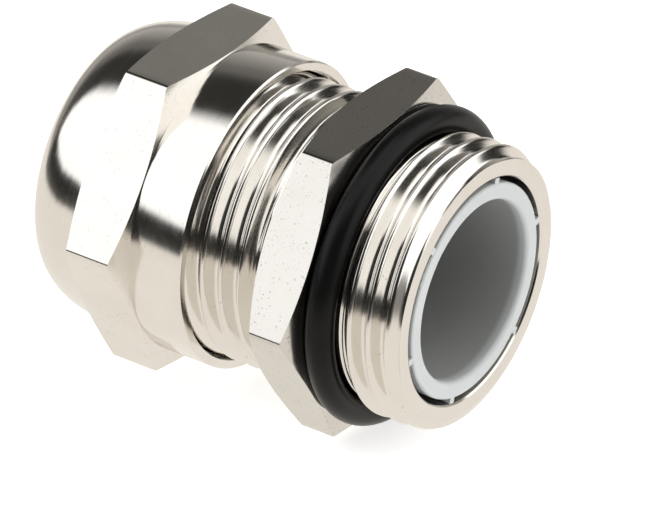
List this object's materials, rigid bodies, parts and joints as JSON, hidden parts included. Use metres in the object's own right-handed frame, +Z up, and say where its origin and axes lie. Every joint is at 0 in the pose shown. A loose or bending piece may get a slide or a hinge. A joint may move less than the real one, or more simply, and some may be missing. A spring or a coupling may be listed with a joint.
{
  "type": "cable gland",
  "caption": "Nickel-plated metric cable gland lying on its side: hexagon body with entry thread and O-ring, dome nut backed off, clamp insert with bending fingers.",
  "frame": {"origin": "on the gland's axis, in the face of the body's hexagon that seats on the panel; the gland lies on its side with one flat of the body's hexagon down", "axes": "+X along the gland's axis towards the entry thread, the dome nut at -X; +Z up, normal to the body hexagon's top flat; +Y completes the right-handed frame"},
  "size_m": [0.0302, 0.0252, 0.023],
  "materials": {
    "nickel_body": "nickel-plated turned brass, bright",
    "nickel_nut": "nickel-plated turned brass, bright",
    "black_rubber": "semi-matt nitrile rubber",
    "seal_rubber": "matt chloroprene rubber",
    "grey_polyamide": "light grey moulded polyamide",
    "white_acetal": "natural acetal, smooth"
  },
  "bodies": {
    "root": {"gland_body": "nickel_body", "clamp_sleeve": "grey_polyamide", "entry_o_ring": "black_rubber", "seal_sleeve": "seal_rubber"},
    "thrust_carrier": {"thrust_ring": "white_acetal"},
    "nut": {"dome_nut": "nickel_nut"},
    "finger_01": {"clamp_finger_01": "grey_polyamide"},
    "finger_02": {"clamp_finger_02": "grey_polyamide"},
    "finger_03": {"clamp_finger_03": "grey_polyamide"},
    "finger_04": {"clamp_finger_04": "grey_polyamide"},
    "finger_05": {"clamp_finger_05": "grey_polyamide"},
    "finger_06": {"clamp_finger_06": "grey_polyamide"},
    "finger_07": {"clamp_finger_07": "grey_polyamide"},
    "finger_08": {"clamp_finger_08": "grey_polyamide"},
    "finger_09": {"clamp_finger_09": "grey_polyamide"},
    "finger_10": {"clamp_finger_10": "grey_polyamide"},
    "finger_11": {"clamp_finger_11": "grey_polyamide"},
    "finger_12": {"clamp_finger_12": "grey_polyamide"}
  },
  "joints": [
    {"name": "nut_travel", "type": "slide", "parent": "root", "child": "thrust_carrier", "axis": [1, 0, 0], "range_m": [0, 0.0042]},
    {"name": "nut_spin", "type": "hinge", "parent": "thrust_carrier", "child": "nut", "pos_m": [-0.015, 0, 0], "axis": [1, 0, 0], "range_deg": [0, 1008], "deforming": ["seal_sleeve"]},
    {"name": "finger_01_bend", "type": "hinge", "parent": "root", "child": "finger_01", "pos_m": [-0.01395, 0, 0.0083], "axis": [0, -1, 0], "range_deg": [0, 28.5]},
    {"name": "finger_02_bend", "type": "hinge", "parent": "root", "child": "finger_02", "pos_m": [-0.01395, 0.00415, 0.00719], "axis": [0, -0.866, 0.5], "range_deg": [0, 28.5]},
    {"name": "finger_03_bend", "type": "hinge", "parent": "root", "child": "finger_03", "pos_m": [-0.01395, 0.00719, 0.00415], "axis": [0, -0.5, 0.866], "range_deg": [0, 28.5]},
    {"name": "finger_04_bend", "type": "hinge", "parent": "root", "child": "finger_04", "pos_m": [-0.01395, 0.0083, 0], "axis": [0, 0, 1], "range_deg": [0, 28.5]},
    {"name": "finger_05_bend", "type": "hinge", "parent": "root", "child": "finger_05", "pos_m": [-0.01395, 0.00719, -0.00415], "axis": [0, 0.5, 0.866], "range_deg": [0, 28.5]},
    {"name": "finger_06_bend", "type": "hinge", "parent": "root", "child": "finger_06", "pos_m": [-0.01395, 0.00415, -0.00719], "axis": [0, 0.866, 0.5], "range_deg": [0, 28.5]},
    {"name": "finger_07_bend", "type": "hinge", "parent": "root", "child": "finger_07", "pos_m": [-0.01395, 0, -0.0083], "axis": [0, 1, 0], "range_deg": [0, 28.5]},
    {"name": "finger_08_bend", "type": "hinge", "parent": "root", "child": "finger_08", "pos_m": [-0.01395, -0.00415, -0.00719], "axis": [0, 0.866, -0.5], "range_deg": [0, 28.5]},
    {"name": "finger_09_bend", "type": "hinge", "parent": "root", "child": "finger_09", "pos_m": [-0.01395, -0.00719, -0.00415], "axis": [0, 0.5, -0.866], "range_deg": [0, 28.5]},
    {"name": "finger_10_bend", "type": "hinge", "parent": "root", "child": "finger_10", "pos_m": [-0.01395, -0.0083, 0], "axis": [0, 0, -1], "range_deg": [0, 28.5]},
    {"name": "finger_11_bend", "type": "hinge", "parent": "root", "child": "finger_11", "pos_m": [-0.01395, -0.00719, 0.00415], "axis": [0, -0.5, -0.866], "range_deg": [0, 28.5]},
    {"name": "finger_12_bend", "type": "hinge", "parent": "root", "child": "finger_12", "pos_m": [-0.01395, -0.00415, 0.00719], "axis": [0, -0.866, -0.5], "range_deg": [0, 28.5]}
  ],
  "couplings": [
    {"joint": "nut_travel", "follows": "nut_spin", "m_per_rad": 0.00023873},
    {"joint": "finger_01_bend", "follows": "nut_spin", "ratio": 0.028274},
    {"joint": "finger_02_bend", "follows": "nut_spin", "ratio": 0.028274},
    {"joint": "finger_03_bend", "follows": "nut_spin", "ratio": 0.028274},
    {"joint": "finger_04_bend", "follows": "nut_spin", "ratio": 0.028274},
    {"joint": "finger_05_bend", "follows": "nut_spin", "ratio": 0.028274},
    {"joint": "finger_06_bend", "follows": "nut_spin", "ratio": 0.028274},
    {"joint": "finger_07_bend", "follows": "nut_spin", "ratio": 0.028274},
    {"joint": "finger_08_bend", "follows": "nut_spin", "ratio": 0.028274},
    {"joint": "finger_09_bend", "follows": "nut_spin", "ratio": 0.028274},
    {"joint": "finger_10_bend", "follows": "nut_spin", "ratio": 0.028274},
    {"joint": "finger_11_bend", "follows": "nut_spin", "ratio": 0.028274},
    {"joint": "finger_12_bend", "follows": "nut_spin", "ratio": 0.028274}
  ]
}
